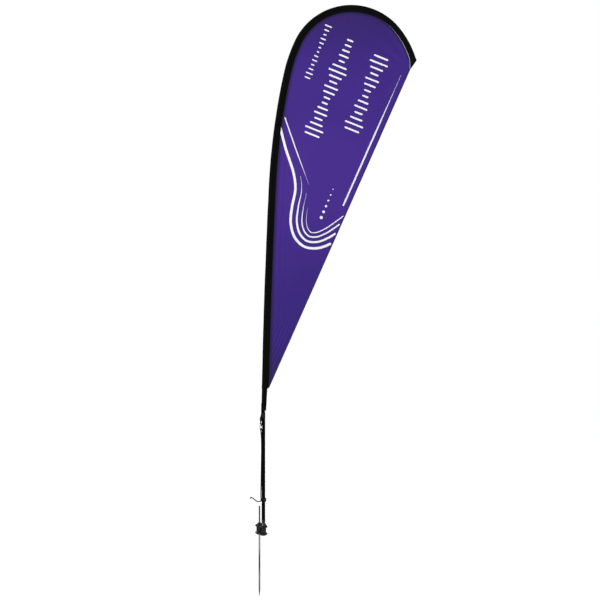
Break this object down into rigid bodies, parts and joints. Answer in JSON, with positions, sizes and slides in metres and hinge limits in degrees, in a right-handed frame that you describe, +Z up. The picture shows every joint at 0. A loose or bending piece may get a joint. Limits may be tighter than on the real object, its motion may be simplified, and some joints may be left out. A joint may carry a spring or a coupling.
{
  "type": "teardrop flag",
  "caption": "Bowed pole with a tensioned teardrop cloth flag, turning on a spindle beside a steel ground stake.",
  "frame": {"origin": "on the stake's axis, at the underside of the bracket, which is ground level", "axes": "+Z up along the stake and the pole, the cloth in a plane across Y, its point towards +X, its front facing -Y"},
  "size_m": [0.918, 0.0764, 3.2669],
  "materials": {
    "stake_steel": "satin, scuffed by the ground",
    "bracket_plastic": "moulded black nylon, slightly glossy",
    "bush_nylon": "natural nylon",
    "plated_steel": "bright zinc plate",
    "spindle_steel": "turned, bright",
    "seal_rubber": "matt black",
    "pole_black": "black-coated glass fibre, semi-gloss",
    "ferrule_metal": "satin",
    "joiner_glass_fibre": "ground glass-fibre rod",
    "flag_cloth": "dye-printed knitted polyester, white line print",
    "hem_cloth": "the same cloth folded double and stitched",
    "sleeve_cloth": "black stretch sleeve fabric",
    "webbing": "black ribbed webbing",
    "hook_plastic": "moulded black acetal",
    "ring_steel": "bright wire ring",
    "elastic_cord": "braided cover over a rubber core"
  },
  "bodies": {
    "ground": {"ground_stake": "stake_steel", "bracket_body": "bracket_plastic", "roll_pin": "plated_steel", "upper_bush": "bush_nylon", "lower_bush": "bush_nylon", "bush_screw": "plated_steel", "bottom_plug": "bracket_plastic"},
    "rotor": {"spindle": "spindle_steel", "rotor_cone": "bracket_plastic", "thrust_washer": "bush_nylon", "peg_o_rings": "seal_rubber", "spindle_nut": "plated_steel", "nut_washer": "plated_steel"},
    "pole": {"pole_foot_ring": "hook_plastic", "pole_base_tube": "pole_black", "pole_second_section": "pole_black", "pole_third_section": "pole_black", "pole_fourth_section": "pole_black", "pole_tip_section": "pole_black", "base_joiner": "joiner_glass_fibre", "second_joiner": "joiner_glass_fibre", "third_joiner": "joiner_glass_fibre", "fourth_joiner": "joiner_glass_fibre", "base_ferrule": "ferrule_metal", "second_ferrule": "ferrule_metal", "third_ferrule": "ferrule_metal", "fourth_ferrule": "ferrule_metal", "pole_tip_cap": "seal_rubber", "flag_panel": "flag_cloth", "free_edge_hem": "hem_cloth", "pole_sleeve": "sleeve_cloth", "sleeve_cuff": "sleeve_cloth", "tip_pocket": "sleeve_cloth", "tail_strap": "webbing", "snap_hook_body": "hook_plastic", "gate_pin": "plated_steel", "tension_ring": "ring_steel", "ring_knot": "elastic_cord", "tension_cord": "elastic_cord", "cord_lashing": "elastic_cord", "lashing_knot": "elastic_cord", "cord_tail": "elastic_cord", "cord_end_knot": "elastic_cord"},
    "hook_gate": {"snap_hook_gate": "hook_plastic"}
  },
  "joints": [
    {"name": "spindle_turn", "type": "hinge", "parent": "ground", "child": "rotor", "pos_m": [0.023, -0.03, 0.03], "axis": [0, 0, 1], "continuous": true},
    {"name": "pole_lift", "type": "slide", "parent": "rotor", "child": "pole", "axis": [0, 0, 1], "range_m": [0, 0.15]},
    {"name": "hook_gate_swing", "type": "hinge", "parent": "pole", "child": "hook_gate", "pos_m": [0.00634, -0.03924, 0.61606], "axis": [-0.788, -0.6157, 0], "range_deg": [0, 18], "stiffness_Nm_per_rad": 0.01}
  ]
}
